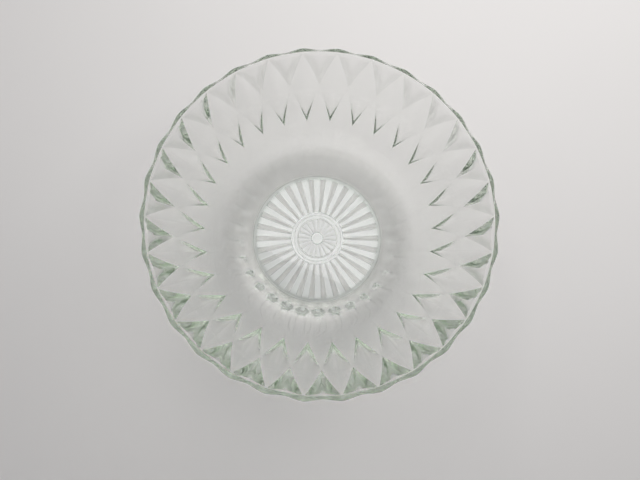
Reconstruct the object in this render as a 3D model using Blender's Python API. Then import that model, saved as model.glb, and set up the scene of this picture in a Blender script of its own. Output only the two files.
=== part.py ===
"""Pressed-glass serving bowl: scalloped rim, thirty diamonds and flutes round the wall, star under the base.

Metres, +Z up, origin at the centre of the face the bowl rests on.
The bowl is one piece of glass, so it is one object with one material.
"""

from math import atan2, cos, hypot, pi, sin, tau

import bmesh
import bpy

MM = 0.001

# The pattern repeats thirty times round the wall, on four columns of points to a repeat.
REPEATS = 30
COLUMNS_PER_REPEAT = 4
COLUMNS = REPEATS * COLUMNS_PER_REPEAT
COLUMN_STEP = tau / COLUMNS

# Under the base: the wedge ribs of the star and the petals of the rosette.
STAR_TURN = 0.5 * COLUMN_STEP
RIB_HALF_ANGLE = 2.6 * pi / 180
GAP_HALF_ANGLE = 2.1 * pi / 180
COLUMNS_PER_PETAL = 6
PETAL_GAP_COLUMN = 4
CEILING_Z = 1.6 * MM
RIB_Z = 0.7 * MM
PETAL_Z = 1.0 * MM

# Underside, from the axis outwards: kind of row, radius, height.
UNDERSIDE = [
    ("plain", 0.0, 0.9),
    ("plain", 4.0, 0.9),
    ("plain", 4.9, 1.6),
    ("petal_end", 5.3, 1.6),
    ("petal", 6.2, 1.0),
    ("petal", 14.0, 1.0),
    ("petal_end", 15.3, 1.6),
    ("plain", 15.7, 1.6),
    ("plain", 16.4, 1.1),
    ("plain", 18.0, 1.1),
    ("plain", 18.6, 0.7),
    ("plain", 19.2, 1.1),
    ("plain", 20.6, 1.1),
    ("rib_end", 21.0, 1.6),
    ("rib", 21.6, 0.7),
    ("rib", 47.2, 0.7),
    ("rib_end", 48.3, 1.6),
    ("plain", 48.8, 1.6),
    ("plain", 49.8, 0.0),
]

# Outside wall, from the foot up: name, radius and height on the ridge, then how far the surface is
# pressed in on a diamond's middle line, half-way to the next diamond's and where the two diamonds meet.
WALL = [
    ("foot", 52.4, 0.0, (0.0, 0.0, 0.0)),
    ("heel", 53.4, 0.9, (0.0, 0.1, 0.2)),
    ("flute_end", 58.3, 10.0, (0.0, 0.7, 1.4)),
    ("flute", 68.9, 24.0, (0.0, 0.9, 1.5)),
    ("lower_tip", 84.5, 45.0, (0.0, 1.2, 1.5)),
    ("lower_half", 92.4, 58.2, (2.1, 0.0, 1.2)),
    ("waist", 100.5, 71.5, (2.5, 1.1, 0.0)),
    ("upper_half", 107.2, 80.6, (2.0, 0.0, 2.3)),
    ("upper_tip", 113.7, 89.8, (0.0, 1.9, 3.2)),
    ("collar", 114.2, 91.4, (0.0, 0.9, 1.8)),
    ("rim_side", 115.0, 93.9, (0.0, 0.9, 1.8)),
    ("rim_crown", 113.8, 95.0, (0.0, 0.4, 0.8)),
]

# Inside, from the rim down to the axis: radius, height. It is smooth and round.
INSIDE = [
    (112.3, 94.3),
    (106.2, 88.0),
    (101.0, 82.6),
    (91.9, 71.5),
    (84.2, 58.2),
    (76.9, 45.0),
    (70.5, 32.0),
    (63.3, 19.0),
    (58.3, 14.0),
    (52.9, 9.4),
    (51.0, 7.0),
    (48.3, 5.8),
    (45.6, 5.5),
    (0.0, 5.5),
]

GLASS_COLOUR = (0.80, 0.90, 0.84, 1.0)
GLASS_ROUGHNESS = 0.04
GLASS_METALLIC = 0.0
SHARP_ANGLE = 22 * pi / 180


def rows():
    """The whole outline as (kind, radius, height, pressed depths), base centre to floor centre."""
    flat = (0.0, 0.0, 0.0)
    table = [(kind, r * MM, z * MM, flat) for kind, r, z in UNDERSIDE]
    table += [(kind, r * MM, z * MM, tuple(d * MM for d in press)) for kind, r, z, press in WALL]
    table += [("inside", r * MM, z * MM, flat) for r, z in INSIDE]
    return table


def turned_body(table):
    """A closed solid of revolution from the outline."""
    bm = bmesh.new()
    points = [bm.verts.new((r, 0.0, z)) for kind, r, z, press in table]
    for lower, upper in zip(points, points[1:]):
        bm.edges.new((lower, upper))
    bmesh.ops.spin(bm, geom=bm.verts[:] + bm.edges[:], cent=(0, 0, 0), axis=(0, 0, 1),
                   angle=tau, steps=COLUMNS, use_merge=True)
    bmesh.ops.remove_doubles(bm, verts=bm.verts[:], dist=0.000001)
    return bm


def grid_of(bm, table):
    """Row and column of every point of the turned body."""
    grid = {}
    for vert in bm.verts:
        radius = hypot(vert.co.x, vert.co.y)
        row = min(range(len(table)), key=lambda i: hypot(table[i][1] - radius, table[i][2] - vert.co.z))
        column = round(atan2(vert.co.y, vert.co.x) / COLUMN_STEP) % COLUMNS
        grid[vert] = (row, column)
    return grid


def rib_angle(column):
    """Angle of a column on the star, where the columns close up on the edges of the ribs."""
    repeat, place = divmod(column, COLUMNS_PER_REPEAT)
    middle = (repeat + 0.5) * COLUMNS_PER_REPEAT * COLUMN_STEP
    side = -1 if place < 2 else 1
    on_rib = place in (1, 2)
    flank = RIB_HALF_ANGLE if on_rib else COLUMNS_PER_REPEAT * COLUMN_STEP / 2 - GAP_HALF_ANGLE
    return middle + side * flank


def pressed_point(row, column, table):
    """Where a point of the turned body lies once the pattern is pressed into the glass."""
    kind, radius, height, press = table[row]
    angle = column * COLUMN_STEP
    if kind in ("rib", "rib_end"):
        angle = rib_angle(column)
        if column % COLUMNS_PER_REPEAT in (0, 3):
            height = CEILING_Z
    elif row < len(UNDERSIDE):
        angle += STAR_TURN
        if kind == "petal" and column % COLUMNS_PER_PETAL == PETAL_GAP_COLUMN:
            height = CEILING_Z
    place = column % COLUMNS_PER_REPEAT
    radius -= press[min(place, COLUMNS_PER_REPEAT - place)]
    return radius * cos(angle), radius * sin(angle), height


def crease_rows(table):
    """Rows between which the creases run outwards from the ridge, and those where they run back to it."""
    names = [kind for kind, radius, height, press in table]
    spread = {names.index("lower_tip"), names.index("lower_half")}
    close = {names.index("waist"), names.index("upper_half")}
    return spread, close


def crease(bm, grid, table):
    """Split the wall's quads along the edges of the diamonds."""
    spread, close = crease_rows(table)
    for face in bm.faces[:]:
        places = {grid[vert]: vert for vert in face.verts}
        row = min(place[0] for place in places)
        if len(face.verts) != 4 or row not in spread | close:
            continue
        columns = sorted({place[1] for place in places})
        left, right = columns if columns[1] - columns[0] == 1 else columns[::-1]
        rising = (left % COLUMNS_PER_REPEAT < 2) == (row in spread)
        first = places[(row, left if rising else right)]
        second = places[(row + 1, right if rising else left)]
        bmesh.utils.face_split(face, first, second)


def bowl_mesh():
    """The pressed bowl as a closed mesh."""
    table = rows()
    bm = turned_body(table)
    grid = grid_of(bm, table)
    for vert, (row, column) in grid.items():
        vert.co = pressed_point(row, column, table)
    crease(bm, grid, table)
    bmesh.ops.triangulate(bm, faces=bm.faces[:], quad_method="SHORT_EDGE")
    bmesh.ops.recalc_face_normals(bm, faces=bm.faces[:])
    mesh = bpy.data.meshes.new("bowl")
    bm.to_mesh(mesh)
    bm.free()
    return mesh


def glass():
    """Clear glass with a slight green tint."""
    material = bpy.data.materials.new("green_glass")
    material.use_nodes = True
    shader = material.node_tree.nodes["Principled BSDF"]
    shader.inputs["Base Color"].default_value = GLASS_COLOUR
    shader.inputs["Roughness"].default_value = GLASS_ROUGHNESS
    shader.inputs["Metallic"].default_value = GLASS_METALLIC
    return material


def main():
    for thing in list(bpy.data.objects):
        bpy.data.objects.remove(thing, do_unlink=True)
    collection = bpy.data.collections.new("serving_bowl")
    bpy.context.scene.collection.children.link(collection)
    bowl = bpy.data.objects.new("bowl", bowl_mesh())
    bowl.data.materials.append(glass())
    collection.objects.link(bowl)
    bpy.context.view_layer.objects.active = bowl
    bowl.data.shade_smooth()
    bowl.data.set_sharp_from_angle(angle=SHARP_ANGLE)


main()
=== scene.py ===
"""Serving bowl of pressed glass, in green-tinted clear glass, on a pale table.

The bowl is one piece of glass. Its outline is turned about the axis, and the pattern is then
pressed into the outside: flutes on the lower wall, diamonds above them, plain cuts up to the
scalloped rim, and a star with a rosette under the base. The inside is smooth.
"""

from math import atan2, cos, exp, pi, radians, sin, tan, tau

import bmesh
import bpy
from mathutils import Matrix, Vector


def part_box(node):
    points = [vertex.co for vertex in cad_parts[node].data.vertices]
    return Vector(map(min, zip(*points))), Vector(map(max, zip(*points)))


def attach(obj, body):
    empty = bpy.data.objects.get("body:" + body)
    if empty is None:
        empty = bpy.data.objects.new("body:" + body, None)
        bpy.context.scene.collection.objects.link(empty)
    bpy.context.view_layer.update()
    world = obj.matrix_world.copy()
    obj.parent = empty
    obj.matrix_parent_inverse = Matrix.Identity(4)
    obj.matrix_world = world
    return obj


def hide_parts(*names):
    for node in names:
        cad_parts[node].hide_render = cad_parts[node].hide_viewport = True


bl_info = {
    "name": "Pressed-glass serving bowl",
    "version": (1, 0, 0),
    "blender": (4, 5, 0),
    "location": "View3D > Sidebar > Serving Bowl",
    "description": "Builds a pressed-glass serving bowl, its glass and a pale table to show it on",
    "category": "Add Mesh",
}

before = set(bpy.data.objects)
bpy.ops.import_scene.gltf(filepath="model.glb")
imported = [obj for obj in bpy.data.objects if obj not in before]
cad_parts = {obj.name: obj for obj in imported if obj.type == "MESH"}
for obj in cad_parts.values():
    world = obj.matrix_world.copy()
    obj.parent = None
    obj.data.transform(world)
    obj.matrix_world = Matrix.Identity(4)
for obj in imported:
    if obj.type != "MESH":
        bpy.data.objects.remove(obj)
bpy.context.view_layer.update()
BOWL_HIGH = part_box("bowl")[1]
RIM_RADIUS = BOWL_HIGH.x
RIM_HEIGHT = BOWL_HIGH.z
MM = 0.001

# Heights and radii of the wall, as shares of the rim's height and radius.
FOOT_OUTER = 0.4560
FOOT_INNER = 0.4330
DIAMOND_LOW = 0.4737
DIAMOND_WIDE = 0.7400
DIAMOND_TOP = 0.9474
WALL_LINE = [
    (0.4640, 0.0100),
    (0.5160, 0.0950),
    (0.6010, 0.2530),
    (0.7348, DIAMOND_LOW),
    (0.8794, DIAMOND_WIDE),
    (0.9890, DIAMOND_TOP),
]
COLLAR_TOP = 0.9780
INSIDE_LINE = [
    (0.9655, 0.9835),
    (0.8700, 0.8700),
    (0.7960, 0.7526),
    (0.6690, DIAMOND_LOW),
    (0.5500, 0.2000),
    (0.4560, 0.0950),
]
FILLET_START = 0.4200

# Rows of points up the outside wall: heel, flutes, diamonds below and above their widest, and collar.
HEEL_LOW = 0.010
HEEL_HIGH = 0.110
FLUTE_LOW = 0.125
HEEL_ROWS = 6
FLUTE_ROWS = 14
DIAMOND_LOW_ROWS = 16
DIAMOND_HIGH_ROWS = 14
COLLAR_ROWS = 6

# The rim's crown, as a share of its width from the inner edge, how much of its fall outwards is straight,
# and how far up the rise to it the inner corner is rounded.
CROWN = 0.10
BEVEL = 0.72
CORNER_RISE = 0.7
CROWN_ROWS = 8

# Rows of points down the inside wall, round the fillet, and across the floor as shares of its radius.
INSIDE_ROWS = 18
FILLET_ROWS = 12
FLOOR_SHARES = (0.7, 0.35, 0.0)

# Columns of points in half a repeat of the pattern, and how they crowd towards its edges.
INNER_COLUMNS = 8
OUTER_COLUMNS = 8
INNER_CROWDING = 1.5
OUTER_CROWDING = 1.863
HALF_COLUMNS = INNER_COLUMNS + OUTER_COLUMNS

# The whole pattern, star and rosette included, comes back to itself after this many diamonds.
SECTOR_REPEATS = 3
SECTOR_PETALS = 2

# Under the base: button, rosette and star, in millimetres.
BASE_Z = 0.25
BUTTON_ROWS = (0.0, 2.2, 4.1)
BUTTON_GROOVE = [(4.6, 0.7)]
ROSETTE_START = 5.2
ROSETTE_END = 15.0
ROSETTE_ROWS = 7
STAR_START = 21.2
STAR_LAST = 48.5
STAR_END = 49.0
STAR_ROWS = 8

# Bead ring between the rosette and the star: radii and heights over the base's lowest face, in millimetres.
BEAD_RING = [
    (15.3, 0.7),
    (16.0, 0.6),
    (16.4, 0.0),
    (18.1, 0.0),
    (18.4, 0.4),
    (18.8, 0.4),
    (19.1, 0.0),
    (20.5, 0.0),
    (20.9, 0.5),
]

# Star and rosette: columns across half a gap and half a rib, how far the gaps are cut up and how they arch.
STAR_COLUMNS = (0.0, 0.15, 0.30, 0.42, 0.48, 0.60, 0.73, 0.87, 1.0)
STAR_GAP = STAR_COLUMNS[3]
STAR_CUT = 1.2
STAR_VAULT = 0.4
ROSETTE_GAP = radians(3.6)
ROSETTE_CUT = 1.1
ROSETTE_TURN = radians(4.5)

# Fine grooves that fan out over the foot of the wall: how many to a repeat, their depth in millimetres,
# and the shares of the height between which they come in and die out.
FINE_GROOVES = 4
FINE_DEPTH = 0.05
FINE_START = (0.08, 0.18)
FINE_END = (0.22, 0.36)

# Heights between which the flutes deepen and their ridges sharpen, and the rounding beside a ridge.
FLUTE_START = (-0.02, 0.34)
FLUTE_SHARPENS = (0.25, 0.45)
FLUTE_ROUNDING = 3.0 * MM

# How quickly a diamond sinks from its lower edges, at its tip and further up, and from its upper edges.
TIP_REACH = 4.4 * MM
WIDE_REACH_MORE = 4.2 * MM
UPPER_REACH = 6.0 * MM

# How squarely the cuts break at their deepest, how much they still fall towards their middle, and the
# heights between which they run out into the scallop of the rim.
CUT_BREAK = 4
CUT_FALL = 0.045
LIP = (DIAMOND_TOP - 0.002, DIAMOND_TOP + 0.018)

# Distances square to a diamond's lower and upper edges, and square to the wall, against distances along
# the rim and along a radius.
LOWER_EDGE_LEAN = 0.955
UPPER_EDGE_LEAN = 0.917
WALL_LEAN = 0.853

# Joining of points that fall together, in millimetres, and the angle over which an edge is sharp.
JOIN_DISTANCE = 0.002
SLIVER_LENGTH = 0.0005
SHARP_ANGLE = radians(16)

# Finish of the glass, and where its painted shade and painted glow go. Heights over the table, in metres,
# where the raised faces under the base stop and start to be rubbed, where their grooves start and end, and
# above which there are no grooves.
RUBBED_HEIGHTS = (0.0007, 0.0004)
GROOVE_HEIGHTS = (0.0008, 0.0011)
GROOVE_TOP = 0.0016

# Roughness of handling wear, rubbed faces and matt grooves, light that the rubbed faces still let through,
# and their colours: plain white, painted shade in the grooves and the painted cool glow of the rubbed faces.
WEAR_PATCHES = (0.45, 0.8)
WORN_FROST = 0.03
RUBBED_FROST = 0.15
GROOVE_FROST = 0.4
RUBBED_CLEARNESS = 0.10
CLEAN_COLOUR = (1.0, 1.0, 1.0, 1.0)
# Painted shade: grey for the floors of the star's grooves, standing for the shadowed table seen through the
# air under them.
GROOVE_PAINTED_SHADE = (0.82, 0.82, 0.82, 1.0)
# Partly painted light: the rubbed faces are frosted by wear, and their cool near-white is painted brightness,
# standing for the table seen where the glass touches it and for the room light reflected in them.
RUBBED_FROST_AND_PAINTED_GLOW = (0.965, 0.955, 0.975, 1.0)

# Patches of wear and waves of the surface: how many fit into a metre, and the strength and height of a wave.
WEAR_SCALE = 45.0
WAVE_SCALE = 110.0
WAVE_STRENGTH = 0.08
WAVE_HEIGHT = 0.0004

# Table: scale of its mottle, shade of its darker patches against its colour, and finish.
MOTTLE_SCALE = 6.0
MOTTLE_SHADE = 0.97
TABLE_ROUGHNESS = 0.9
TABLE_SHEEN = 0.2

# Stage: size of the table and its gap under the bowl, in metres.
TABLE_SIZE = 3.0
TABLE_GAP = 0.0002
ROOM_COLOUR = (0.95, 0.97, 1.0, 1.0)

# Lights: azimuth and elevation in degrees, distance, size and colour.
WINDOW_PLACE = (66, 57, 0.76)
WINDOW_SIZE = (0.95, 0.85)
WINDOW_COLOUR = (1.0, 0.985, 0.97)
CEILING_PLACE = (80, 81, 1.5)
CEILING_SIZE = (0.8, 0.8)
CEILING_COLOUR = (0.93, 0.98, 1.0)

# How often light may turn in the thick glass.
LIGHT_TURNS = 32

# Camera: place in metres, turns about the axes in degrees, lens and sensor in millimetres.
CAMERA_PLACE = (-0.01262, -0.06849, 0.43082)
CAMERA_TURN_X = 8.89
CAMERA_TURN_Y = -1.978
CAMERA_TURN_Z = -0.417
CAMERA_LENS = 30.375
CAMERA_SENSOR = 36.0


class BowlShape(bpy.types.PropertyGroup):
    """Sizes of the pattern pressed into the bowl."""
    repeats: bpy.props.IntProperty(
        name="Repeats", description="How many diamonds go round the wall", default=30, min=8, max=60)
    diamond_depth: bpy.props.FloatProperty(
        name="Diamond depth", description="How deep the diamonds are pressed",
        default=4.2 * MM, unit="LENGTH")
    flute_depth: bpy.props.FloatProperty(
        name="Flute depth", description="How deep the flutes of the lower wall are pressed",
        default=1.3 * MM, unit="LENGTH")
    cut_depth: bpy.props.FloatProperty(
        name="Cut depth", description="How deep the plain cuts between the diamonds and the rim are",
        default=2.0 * MM, unit="LENGTH")
    cut_slope: bpy.props.FloatProperty(
        name="Cut slope", description="How steeply the plain cuts fall from their edges",
        default=radians(14.5), subtype="ANGLE")
    scallop: bpy.props.FloatProperty(
        name="Scallop", description="How far the rim draws in between two of its peaks",
        default=1.5 * MM, unit="LENGTH")
    floor_thickness: bpy.props.FloatProperty(
        name="Floor thickness", description="Height of the bowl's inner floor over the table",
        default=5.5 * MM, unit="LENGTH")


class GlassLook(bpy.types.PropertyGroup):
    """Colour and finish of the glass."""
    tint: bpy.props.FloatVectorProperty(
        name="Tint", description="Colour that the glass leaves in light that crosses it",
        default=(0.770, 0.825, 0.752), size=3, min=0, max=1, subtype="COLOR")
    depth_of_tint: bpy.props.FloatProperty(
        name="Depth of tint", description="How strongly the glass tints, per metre crossed", default=21.0)
    refraction: bpy.props.FloatProperty(
        name="Refraction", description="Index of refraction of soda-lime glass", default=1.52)


class StageLook(bpy.types.PropertyGroup):
    """Table and lights."""
    table_colour: bpy.props.FloatVectorProperty(
        name="Table", description="Colour of the pale table", default=(0.80, 0.783, 0.776),
        size=3, min=0, max=1, subtype="COLOR")
    window_power: bpy.props.FloatProperty(
        name="Window", description="Power of the large soft light beside the bowl", default=5.9,
        unit="POWER")
    room_light: bpy.props.FloatProperty(
        name="Room light", description="Brightness of the light from all round", default=0.19)
    ceiling_power: bpy.props.FloatProperty(
        name="Ceiling", description="Power of the pale panel overhead", default=1.0, unit="POWER")


def smooth_step(low, high, value):
    """0 below low, 1 above high, and a smooth rise between."""
    t = min(max((value - low) / (high - low), 0.0), 1.0)
    return t * t * (3 - 2 * t)


def radius_on(line, share):
    """Radius at a height on a smooth line through (radius, height) points in order of height."""
    points = sorted(line, key=lambda point: point[1])
    slopes = []
    for i in range(len(points)):
        (r0, z0), (r1, z1) = points[max(i - 1, 0)], points[min(i + 1, len(points) - 1)]
        slopes.append((r1 - r0) / (z1 - z0))
    i = 0
    while i < len(points) - 2 and share > points[i + 1][1]:
        i += 1
    (r0, z0), (r1, z1) = points[i], points[i + 1]
    span = z1 - z0
    t = (share - z0) / span
    return ((2 * t ** 3 - 3 * t ** 2 + 1) * r0 + (t ** 3 - 2 * t ** 2 + t) * span * slopes[i]
            + (3 * t ** 2 - 2 * t ** 3) * r1 + (t ** 3 - t ** 2) * span * slopes[i + 1])


def even(start, end, count):
    """count + 1 values from start to end."""
    return [start + (end - start) * i / count for i in range(count + 1)]


class Row:
    """One row of points round the bowl: its kind, and its radius and height on the ridge lines."""

    def __init__(self, kind, radius, height):
        self.kind = kind
        self.radius = radius
        self.height = height


def base_rows():
    """Underside, from the axis out to the foot ring."""
    rows = [Row("plain", r * MM, BASE_Z * MM) for r in BUTTON_ROWS]
    rows += [Row("plain", r * MM, (BASE_Z + lift) * MM) for r, lift in BUTTON_GROOVE]
    rows += [Row("rosette", r * MM, BASE_Z * MM) for r in even(ROSETTE_START, ROSETTE_END, ROSETTE_ROWS)]
    rows += [Row("plain", r * MM, (BASE_Z + lift) * MM) for r, lift in BEAD_RING]
    rows += [Row("star", r * MM, BASE_Z * MM) for r in even(STAR_START, STAR_LAST, STAR_ROWS)]
    rows.append(Row("star_end", STAR_END * MM, BASE_Z * MM))
    rows.append(Row("foot", FOOT_INNER * RIM_RADIUS, 0.0))
    rows.append(Row("foot", FOOT_OUTER * RIM_RADIUS, 0.0))
    return rows


def wall_rows():
    """Outside wall, from the heel up to the rim."""
    heights = even(HEEL_LOW, HEEL_HIGH, HEEL_ROWS) + even(FLUTE_LOW, DIAMOND_LOW, FLUTE_ROWS)[:-1]
    heights += even(DIAMOND_LOW, DIAMOND_WIDE, DIAMOND_LOW_ROWS)[:-1]
    heights += even(DIAMOND_WIDE, DIAMOND_TOP, DIAMOND_HIGH_ROWS)
    rows = [Row("wall", radius_on(WALL_LINE, h) * RIM_RADIUS, h * RIM_HEIGHT) for h in heights]
    foot_of_collar = rows[-1]
    for t in even(0, 1, COLLAR_ROWS)[1:]:
        radius = foot_of_collar.radius + (RIM_RADIUS - foot_of_collar.radius) * t
        height = foot_of_collar.height + (COLLAR_TOP * RIM_HEIGHT - foot_of_collar.height) * t
        rows.append(Row("wall", radius, height))
    return rows


def rim_rows():
    """Rounded top edge, from the outside over the crown to the inside."""
    inner_radius = INSIDE_LINE[0][0] * RIM_RADIUS
    inner_height = INSIDE_LINE[0][1] * RIM_HEIGHT
    side = COLLAR_TOP * RIM_HEIGHT
    rows = []
    for angle in even(0, pi / 2, CROWN_ROWS)[1:]:
        out = cos(angle)
        drop = BEVEL * out + (1 - BEVEL) * (1 - sin(angle))
        rows.append(Row("rim", CROWN + (1 - CROWN) * out, RIM_HEIGHT - (RIM_HEIGHT - side) * drop))
    rows.append(Row("rim", CROWN / 3, inner_height + CORNER_RISE * (RIM_HEIGHT - inner_height)))
    rows.append(Row("inside", inner_radius, inner_height))
    return rows


def inside_rows(floor):
    """Smooth inside, from the rim down the wall, round the fillet and in to the axis."""
    top, low = INSIDE_LINE[0][1], INSIDE_LINE[-1][1]
    rows = []
    for h in even(top, low, INSIDE_ROWS)[1:]:
        rows.append(Row("inside", radius_on(INSIDE_LINE, h) * RIM_RADIUS, h * RIM_HEIGHT))
    start = Vector((FILLET_START * RIM_RADIUS, floor))
    end = Vector((rows[-1].radius, rows[-1].height))
    slope = (rows[-2].radius - end.x) / (rows[-2].height - end.y)
    corner = Vector((end.x - slope * (end.y - floor), floor))
    for t in even(0, 1, FILLET_ROWS)[1:]:
        point = end.lerp(corner, t).lerp(corner.lerp(start, t), t)
        rows.append(Row("inside", point.x, point.y))
    rows += [Row("inside", FILLET_START * RIM_RADIUS * share, floor) for share in FLOOR_SHARES]
    return rows


def diamond_share(height):
    """How much of half a repeat the diamond takes up at a height: 0 at its tips and 1 at its widest."""
    low, wide, top = (h * RIM_HEIGHT for h in (DIAMOND_LOW, DIAMOND_WIDE, DIAMOND_TOP))
    if height <= low or height >= top:
        return 0.0
    if height <= wide:
        return (height - low) / (wide - low)
    return (top - height) / (top - wide)


def column_share(place, share, crowded):
    """Where a column lies in its half repeat: 0 on the ridge line and 1 half-way to the next one."""
    if place <= INNER_COLUMNS:
        return share * (1 - (1 - place / INNER_COLUMNS) ** INNER_CROWDING)
    t = (place - INNER_COLUMNS) / OUTER_COLUMNS
    return share + (1 - share) * (t ** OUTER_CROWDING if crowded else t)


def fine_grooves(across, share):
    """Depth of the fine grooves at the foot of the wall, at a share of the bowl's height."""
    fade = smooth_step(*FINE_START, share) * (1 - smooth_step(*FINE_END, share))
    return fade * FINE_DEPTH * MM * (1 - cos(FINE_GROOVES * pi * across))


def scallop_depth(shape, across):
    """How far the rim draws in, square to the wall, at a place across half a repeat."""
    return shape.scallop * (0.5 * across + 0.5 * (0.5 - 0.5 * cos(pi * across)))


def pressed_depth(shape, across, row):
    """How far the wall is pressed in, square to it, at a place across half a repeat."""
    low, wide, top = (h * RIM_HEIGHT for h in (DIAMOND_LOW, DIAMOND_WIDE, DIAMOND_TOP))
    height = row.height
    share = height / RIM_HEIGHT
    half = row.radius * pi / shape.repeats
    low_line = (height - low) / (wide - low)
    top_line = (top - height) / (top - wide)
    to_low = (low_line - across) * half * LOWER_EDGE_LEAN
    to_top = (max(top_line, 0) - across) * half * UPPER_EDGE_LEAN
    if height < wide and to_low < 0 or height <= low:
        away = -to_low if height > low else across * half
        fade = smooth_step(*FLUTE_START, share)
        crisp = smooth_step(*FLUTE_SHARPENS, share)
        flute = crisp * (1 - exp(-away / FLUTE_ROUNDING)) + (1 - crisp) * (0.5 - 0.5 * cos(pi * across))
        return fade * shape.flute_depth * flute + fine_grooves(across, share)
    if height > wide and to_top < 0:
        fall = -to_top * tan(shape.cut_slope) / shape.cut_depth
        cut = shape.cut_depth * (1 - exp(-fall ** CUT_BREAK)) ** (1 / CUT_BREAK)
        lip = smooth_step(*LIP, share)
        cut -= CUT_FALL * to_top
        return (1 - lip) * cut + lip * scallop_depth(shape, across)
    reach = TIP_REACH + WIDE_REACH_MORE * low_line
    return shape.diamond_depth * (1 - exp(-to_low / reach)) * (1 - exp(-max(to_top, 0) / UPPER_REACH))


def base_height(shape, angle, across, row):
    """Height of the underside, with the star's gaps and the rosette's gaps cut up into it."""
    if row.kind == "star":
        return row.height + (STAR_CUT * MM * (1 - across ** 2 / STAR_VAULT) if across <= STAR_GAP else 0.0)
    if row.kind == "rosette":
        period = SECTOR_REPEATS / SECTOR_PETALS * tau / shape.repeats
        from_gap = abs((angle + ROSETTE_TURN + period / 2) % period - period / 2)
        return row.height + (ROSETTE_CUT * MM if from_gap <= ROSETTE_GAP else 0.0)
    return row.height


def placed_point(shape, row, column):
    """Where a point of the turned outline lies once the pattern is pressed in."""
    repeat, place = divmod(column, 2 * HALF_COLUMNS)
    side = 1
    if place > HALF_COLUMNS:
        repeat, place, side = repeat + 1, 2 * HALF_COLUMNS - place, -1
    share = diamond_share(row.height) if row.kind == "wall" else 0.0
    crowded = row.kind == "rim" or row.kind == "wall" and row.height > DIAMOND_LOW * RIM_HEIGHT
    across = column_share(place, share, crowded)
    if row.kind in ("star", "star_end"):
        across = STAR_COLUMNS[max(place - INNER_COLUMNS, 0)]
    angle = (repeat + side * across / 2) * tau / shape.repeats
    radius, height = row.radius, row.height
    if row.kind == "wall":
        radius -= pressed_depth(shape, across, row) / WALL_LEAN
    elif row.kind == "rim":
        outer = RIM_RADIUS - scallop_depth(shape, across) / WALL_LEAN
        inner = INSIDE_LINE[0][0] * RIM_RADIUS
        radius = inner + (outer - inner) * row.radius
    elif row.kind in ("star", "rosette"):
        height = base_height(shape, angle, across, row)
    return Vector((radius * cos(angle), radius * sin(angle), height))


def turned_sector(rows, angle, steps):
    """The outline spun through one sector of the bowl, with each point marked by its row."""
    bm = bmesh.new()
    row_mark = bm.verts.layers.int.new("row")
    line = []
    for index, row in enumerate(rows):
        vert = bm.verts.new((row.radius + MM, 0.0, row.height))
        vert[row_mark] = index
        line.append(vert)
    for lower, upper in zip(line, line[1:]):
        bm.edges.new((lower, upper))
    bmesh.ops.spin(bm, geom=bm.verts[:] + bm.edges[:], cent=(0, 0, 0), axis=(0, 0, 1),
                   angle=angle, steps=steps)
    return bm, row_mark


def bowl_mesh(shape):
    """The bowl as one closed mesh."""
    rows = base_rows() + wall_rows() + rim_rows() + inside_rows(shape.floor_thickness)
    sectors = shape.repeats // SECTOR_REPEATS
    columns = SECTOR_REPEATS * 2 * HALF_COLUMNS
    sector = tau / sectors
    bm, row_mark = turned_sector(rows, sector, columns)
    for vert in bm.verts:
        column = round(atan2(vert.co.y, vert.co.x) / sector * columns)
        vert.co = placed_point(shape, rows[vert[row_mark]], column)
    bmesh.ops.spin(bm, geom=bm.verts[:] + bm.edges[:] + bm.faces[:], cent=(0, 0, 0), axis=(0, 0, 1),
                   angle=tau - sector, steps=sectors - 1, use_duplicate=True)
    bmesh.ops.remove_doubles(bm, verts=bm.verts[:], dist=JOIN_DISTANCE * MM)
    bmesh.ops.dissolve_degenerate(bm, edges=bm.edges[:], dist=SLIVER_LENGTH * MM)
    bmesh.ops.recalc_face_normals(bm, faces=bm.faces[:])
    open_edges = sum(1 for edge in bm.edges if not edge.is_manifold)
    if open_edges:
        raise RuntimeError(f"the bowl has {open_edges} open edges")
    mesh = bpy.data.meshes.new("bowl_glass")
    bm.to_mesh(mesh)
    bm.free()
    mesh.shade_smooth()
    mesh.set_sharp_from_angle(angle=SHARP_ANGLE)
    return mesh


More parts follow.
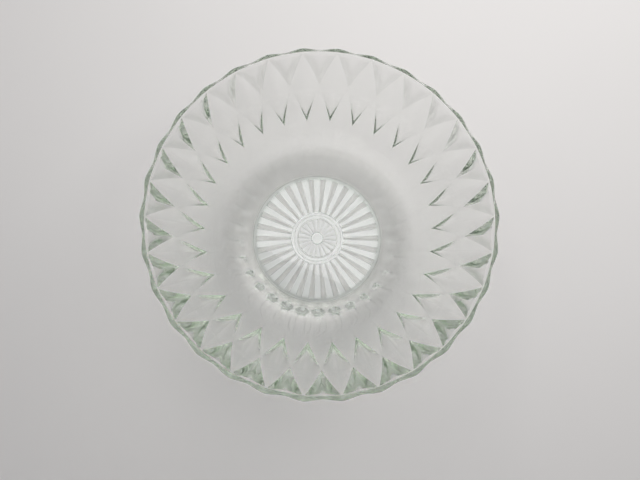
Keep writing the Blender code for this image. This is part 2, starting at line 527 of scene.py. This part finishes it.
def glass_material(look):
    """Clear pressed glass: fire-polished, faintly rippled by the mould, tinted through its thickness, with
    painted shade in the star's grooves and a painted cool glow on the rubbed faces under the base.
    """
    material = bpy.data.materials.new("green_glass")
    material.use_nodes = True
    tree = material.node_tree
    tree.nodes.clear()

    # This frame holds the real polish, wear and frost, and also the painted shade of the grooves and the
    # painted cool glow of the rubbed faces.
    finish_and_painted_light_frame = tree.nodes.new("NodeFrame")
    finish_and_painted_light_frame.label = "Fire-polish, wear and painted light"
    ripple_frame = tree.nodes.new("NodeFrame")
    ripple_frame.label = "Mould ripple"
    body_frame = tree.nodes.new("NodeFrame")
    body_frame.label = "Body of the glass"

    place = tree.nodes.new("ShaderNodeTexCoord")
    place.label = "Place on the bowl"
    place.location = (-1100, 0)

    handling = tree.nodes.new("ShaderNodeTexNoise")
    handling.label = "Patches of handling wear"
    handling.location = (-800, 300)
    handling.parent = finish_and_painted_light_frame
    handling.inputs["Scale"].default_value = WEAR_SCALE
    handling.inputs["Detail"].default_value = 4.0

    polish = tree.nodes.new("ShaderNodeMapRange")
    polish.label = "Polish from bright to slightly worn"
    polish.location = (-500, 300)
    polish.parent = finish_and_painted_light_frame
    polish.inputs["From Min"].default_value, polish.inputs["From Max"].default_value = WEAR_PATCHES
    polish.inputs["To Min"].default_value = 0.0
    polish.inputs["To Max"].default_value = WORN_FROST

    height = tree.nodes.new("ShaderNodeSeparateXYZ")
    height.label = "Height over the table"
    height.location = (-800, 600)
    height.parent = finish_and_painted_light_frame

    # Mask of the raised faces under the base: it carries their real frost and also their painted cool glow.
    wear_and_glow_mask = tree.nodes.new("ShaderNodeMapRange")
    wear_and_glow_mask.label = "Raised faces that rub on tables"
    wear_and_glow_mask.location = (-500, 600)
    wear_and_glow_mask.parent = finish_and_painted_light_frame
    wear_and_glow_mask.inputs["From Min"].default_value, wear_and_glow_mask.inputs["From Max"].default_value = RUBBED_HEIGHTS
    wear_and_glow_mask.inputs["To Min"].default_value = 0.0
    wear_and_glow_mask.inputs["To Max"].default_value = 1.0

    rubbed = tree.nodes.new("ShaderNodeMath")
    rubbed.label = "Frost of the rubbed faces"
    rubbed.operation = "MULTIPLY_ADD"
    rubbed.location = (-300, 450)
    rubbed.parent = finish_and_painted_light_frame
    rubbed.inputs[1].default_value = RUBBED_FROST

    grooves = tree.nodes.new("ShaderNodeMapRange")
    grooves.label = "Floors of the star's grooves, matt and painted in shade"
    grooves.location = (-500, 900)
    grooves.parent = finish_and_painted_light_frame
    grooves.inputs["From Min"].default_value, grooves.inputs["From Max"].default_value = GROOVE_HEIGHTS
    grooves.inputs["To Min"].default_value = 0.0
    grooves.inputs["To Max"].default_value = 1.0

    groove_end = tree.nodes.new("ShaderNodeMath")
    groove_end.label = "Only below the floor's underside"
    groove_end.operation = "LESS_THAN"
    groove_end.location = (-500, 1150)
    groove_end.parent = finish_and_painted_light_frame
    groove_end.inputs[1].default_value = GROOVE_TOP

    in_groove = tree.nodes.new("ShaderNodeMath")
    in_groove.label = "In the grooves"
    in_groove.operation = "MULTIPLY"
    in_groove.location = (-400, 1000)
    in_groove.parent = finish_and_painted_light_frame

    matt = tree.nodes.new("ShaderNodeMath")
    matt.label = "Matt grooves and rubbed faces"
    matt.operation = "MULTIPLY_ADD"
    matt.inputs[1].default_value = GROOVE_FROST
    matt.location = (-300, 900)
    matt.parent = finish_and_painted_light_frame

    # Painted shade: the floors of the star's grooves are greyed, standing for the shadowed table seen through
    # the air under them.
    painted_groove_shade = tree.nodes.new("ShaderNodeMix")
    painted_groove_shade.label = "Painted shade in the star's grooves"
    painted_groove_shade.data_type = "RGBA"
    painted_groove_shade.location = (-300, 1150)
    painted_groove_shade.parent = finish_and_painted_light_frame
    painted_groove_shade.inputs["A"].default_value = CLEAN_COLOUR
    painted_groove_shade.inputs["B"].default_value = GROOVE_PAINTED_SHADE

    # Partly painted light: the rubbed faces turn a cool near-white, painted brightness laid over their real
    # frost.
    frost_and_painted_glow = tree.nodes.new("ShaderNodeMix")
    frost_and_painted_glow.label = "Frost and painted cool glow of the rubbed faces"
    frost_and_painted_glow.data_type = "RGBA"
    frost_and_painted_glow.location = (-150, 1150)
    frost_and_painted_glow.parent = finish_and_painted_light_frame
    frost_and_painted_glow.inputs["B"].default_value = RUBBED_FROST_AND_PAINTED_GLOW

    # Where rubbed, little light passes, so the painted cool near-white shows as a matt face over the real
    # frost.
    clear = tree.nodes.new("ShaderNodeMapRange")
    clear.label = "Clear glass, less where rubbed"
    clear.location = (-300, 700)
    clear.parent = finish_and_painted_light_frame
    clear.inputs["To Min"].default_value = 1.0
    clear.inputs["To Max"].default_value = RUBBED_CLEARNESS

    chill = tree.nodes.new("ShaderNodeTexNoise")
    chill.label = "Broad waves from the chilled mould"
    chill.location = (-800, -100)
    chill.parent = ripple_frame
    chill.inputs["Scale"].default_value = WAVE_SCALE
    chill.inputs["Detail"].default_value = 2.0

    ripple = tree.nodes.new("ShaderNodeBump")
    ripple.label = "Ripple of the surface"
    ripple.location = (-500, -100)
    ripple.parent = ripple_frame
    ripple.inputs["Strength"].default_value = WAVE_STRENGTH
    ripple.inputs["Distance"].default_value = WAVE_HEIGHT

    glass = tree.nodes.new("ShaderNodeBsdfPrincipled")
    glass.label = "Clear soda-lime glass"
    glass.location = (-150, 100)
    glass.parent = body_frame
    glass.inputs["Base Color"].default_value = CLEAN_COLOUR
    glass.inputs["Metallic"].default_value = 0.0
    glass.inputs["IOR"].default_value = look.refraction

    tint = tree.nodes.new("ShaderNodeVolumeAbsorption")
    tint.label = "Green of the melt"
    tint.location = (-150, -350)
    tint.parent = body_frame
    tint.inputs["Color"].default_value = (*look.tint, 1.0)
    tint.inputs["Density"].default_value = look.depth_of_tint

    output = tree.nodes.new("ShaderNodeOutputMaterial")
    output.label = "Bowl"
    output.location = (250, 0)

    tree.links.new(place.outputs["Object"], handling.inputs["Vector"])
    tree.links.new(handling.outputs["Fac"], polish.inputs["Value"])
    tree.links.new(place.outputs["Object"], height.inputs["Vector"])
    tree.links.new(height.outputs["Z"], wear_and_glow_mask.inputs["Value"])
    tree.links.new(wear_and_glow_mask.outputs["Result"], rubbed.inputs[0])
    tree.links.new(polish.outputs["Result"], rubbed.inputs[2])
    tree.links.new(height.outputs["Z"], grooves.inputs["Value"])
    tree.links.new(height.outputs["Z"], groove_end.inputs[0])
    tree.links.new(grooves.outputs["Result"], in_groove.inputs[0])
    tree.links.new(groove_end.outputs["Value"], in_groove.inputs[1])
    tree.links.new(in_groove.outputs["Value"], painted_groove_shade.inputs["Factor"])
    tree.links.new(wear_and_glow_mask.outputs["Result"], frost_and_painted_glow.inputs["Factor"])
    tree.links.new(painted_groove_shade.outputs["Result"], frost_and_painted_glow.inputs["A"])
    tree.links.new(frost_and_painted_glow.outputs["Result"], glass.inputs["Base Color"])
    tree.links.new(in_groove.outputs["Value"], matt.inputs[0])
    tree.links.new(rubbed.outputs["Value"], matt.inputs[2])
    tree.links.new(matt.outputs["Value"], glass.inputs["Roughness"])
    tree.links.new(wear_and_glow_mask.outputs["Result"], clear.inputs["Value"])
    tree.links.new(clear.outputs["Result"], glass.inputs["Transmission Weight"])
    tree.links.new(place.outputs["Object"], chill.inputs["Vector"])
    tree.links.new(chill.outputs["Fac"], ripple.inputs["Height"])
    tree.links.new(ripple.outputs["Normal"], glass.inputs["Normal"])
    tree.links.new(glass.outputs["BSDF"], output.inputs["Surface"])
    tree.links.new(tint.outputs["Volume"], output.inputs["Volume"])
    return material


def table_material(look):
    """Matt pale table with a faint mottle."""
    material = bpy.data.materials.new("pale_table")
    material.use_nodes = True
    tree = material.node_tree
    tree.nodes.clear()

    place = tree.nodes.new("ShaderNodeTexCoord")
    place.label = "Place on the table"
    place.location = (-900, 0)

    mottle = tree.nodes.new("ShaderNodeTexNoise")
    mottle.label = "Faint mottle"
    mottle.location = (-700, 0)
    mottle.inputs["Scale"].default_value = MOTTLE_SCALE
    mottle.inputs["Detail"].default_value = 3.0

    shade = tree.nodes.new("ShaderNodeMix")
    shade.label = "Table colour"
    shade.data_type = "RGBA"
    shade.location = (-450, 0)
    shade.inputs["A"].default_value = (*(MOTTLE_SHADE * c for c in look.table_colour), 1.0)
    shade.inputs["B"].default_value = (*look.table_colour, 1.0)

    surface = tree.nodes.new("ShaderNodeBsdfPrincipled")
    surface.label = "Matt surface"
    surface.location = (-200, 0)
    surface.inputs["Roughness"].default_value = TABLE_ROUGHNESS
    surface.inputs["Specular IOR Level"].default_value = TABLE_SHEEN

    output = tree.nodes.new("ShaderNodeOutputMaterial")
    output.label = "Table"
    output.location = (120, 0)

    tree.links.new(place.outputs["Object"], mottle.inputs["Vector"])
    tree.links.new(mottle.outputs["Fac"], shade.inputs["Factor"])
    tree.links.new(shade.outputs["Result"], surface.inputs["Base Color"])
    tree.links.new(surface.outputs["BSDF"], output.inputs["Surface"])
    return material


def soft_light(name, place, size, power, colour):
    """A rectangular light that faces the bowl."""
    azimuth, elevation, distance = place
    light = bpy.data.lights.new(name, "AREA")
    light.shape = "RECTANGLE"
    light.size, light.size_y = size
    light.energy = power
    light.color = colour
    lamp = bpy.data.objects.new(name, light)
    azimuth, elevation = radians(azimuth), radians(elevation)
    level = cos(elevation)
    lamp.location = distance * Vector((level * cos(azimuth), level * sin(azimuth), sin(elevation)))
    lamp.rotation_euler = (-lamp.location).to_track_quat("-Z", "Y").to_euler()
    bpy.context.scene.collection.objects.link(lamp)
    return lamp


def overhead_camera():
    """A camera held over the bowl, a little towards the near side."""
    camera = bpy.data.cameras.new("overhead")
    camera.sensor_width = CAMERA_SENSOR
    camera.lens = CAMERA_LENS
    holder = bpy.data.objects.new("overhead", camera)
    turn = Matrix.Rotation(radians(CAMERA_TURN_Z), 4, "Z")
    tilt = Matrix.Rotation(radians(CAMERA_TURN_Y), 4, "Y") @ Matrix.Rotation(radians(CAMERA_TURN_X), 4, "X")
    place = Matrix.Translation(Vector(CAMERA_PLACE))
    holder.matrix_world = turn @ place @ tilt
    bpy.context.scene.collection.objects.link(holder)
    bpy.context.scene.camera = holder


class BOWL_OT_glass(bpy.types.Operator):
    """Build the bowl and its glass"""
    bl_idname = "serving_bowl.glass"
    bl_label = "Glass Bowl"

    def execute(self, context):
        bowl = bpy.data.objects.new("bowl_glass", bowl_mesh(context.scene.bowl_shape))
        context.scene.collection.objects.link(bowl)
        bowl.data.materials.append(glass_material(context.scene.glass_look))
        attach(bowl, "root")
        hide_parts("bowl")
        return {"FINISHED"}


class BOWL_OT_stage(bpy.types.Operator):
    """Lay the pale table and set up the lights and the camera"""
    bl_idname = "serving_bowl.stage"
    bl_label = "Table, Lights and Camera"

    def execute(self, context):
        look = context.scene.stage_look
        mesh = bpy.data.meshes.new("table")
        bm = bmesh.new()
        bmesh.ops.create_grid(bm, x_segments=1, y_segments=1, size=TABLE_SIZE)
        bmesh.ops.translate(bm, verts=bm.verts[:], vec=(0.0, 0.0, -TABLE_GAP))
        bm.to_mesh(mesh)
        bm.free()
        table = bpy.data.objects.new("table", mesh)
        table.data.materials.append(table_material(look))
        context.scene.collection.objects.link(table)

        world = bpy.data.worlds.new("room")
        context.scene.world = world
        world.use_nodes = True
        room = world.node_tree.nodes["Background"]
        room.inputs["Color"].default_value = ROOM_COLOUR
        room.inputs["Strength"].default_value = look.room_light
        soft_light("window", WINDOW_PLACE, WINDOW_SIZE, look.window_power, WINDOW_COLOUR)
        soft_light("ceiling", CEILING_PLACE, CEILING_SIZE, look.ceiling_power, CEILING_COLOUR)
        overhead_camera()
        context.scene.cycles.blur_glossy = 0.0
        context.scene.cycles.max_bounces = LIGHT_TURNS
        context.scene.cycles.glossy_bounces = LIGHT_TURNS
        context.scene.cycles.transmission_bounces = LIGHT_TURNS
        context.scene.view_settings.view_transform = "Standard"
        return {"FINISHED"}


class BOWL_PT_panel(bpy.types.Panel):
    """Settings and buttons of the bowl"""
    bl_idname = "BOWL_PT_panel"
    bl_label = "Serving Bowl"
    bl_space_type = "VIEW_3D"
    bl_region_type = "UI"
    bl_category = "Serving Bowl"

    def draw(self, context):
        for group in (context.scene.bowl_shape, context.scene.glass_look, context.scene.stage_look):
            box = self.layout.box()
            for key in group.bl_rna.properties.keys():
                if key not in ("rna_type", "name"):
                    box.prop(group, key)
        for operator in (BOWL_OT_glass, BOWL_OT_stage):
            self.layout.operator(operator.bl_idname)


CLASSES = (BowlShape, GlassLook, StageLook, BOWL_OT_glass, BOWL_OT_stage, BOWL_PT_panel)


def register():
    for cls in CLASSES:
        bpy.utils.register_class(cls)
    bpy.types.Scene.bowl_shape = bpy.props.PointerProperty(type=BowlShape)
    bpy.types.Scene.glass_look = bpy.props.PointerProperty(type=GlassLook)
    bpy.types.Scene.stage_look = bpy.props.PointerProperty(type=StageLook)


def unregister():
    del bpy.types.Scene.stage_look
    del bpy.types.Scene.glass_look
    del bpy.types.Scene.bowl_shape
    for cls in reversed(CLASSES):
        bpy.utils.unregister_class(cls)


def main():
    register()
    bpy.ops.serving_bowl.glass()
    bpy.ops.serving_bowl.stage()


if __name__ == "__main__":
    main()
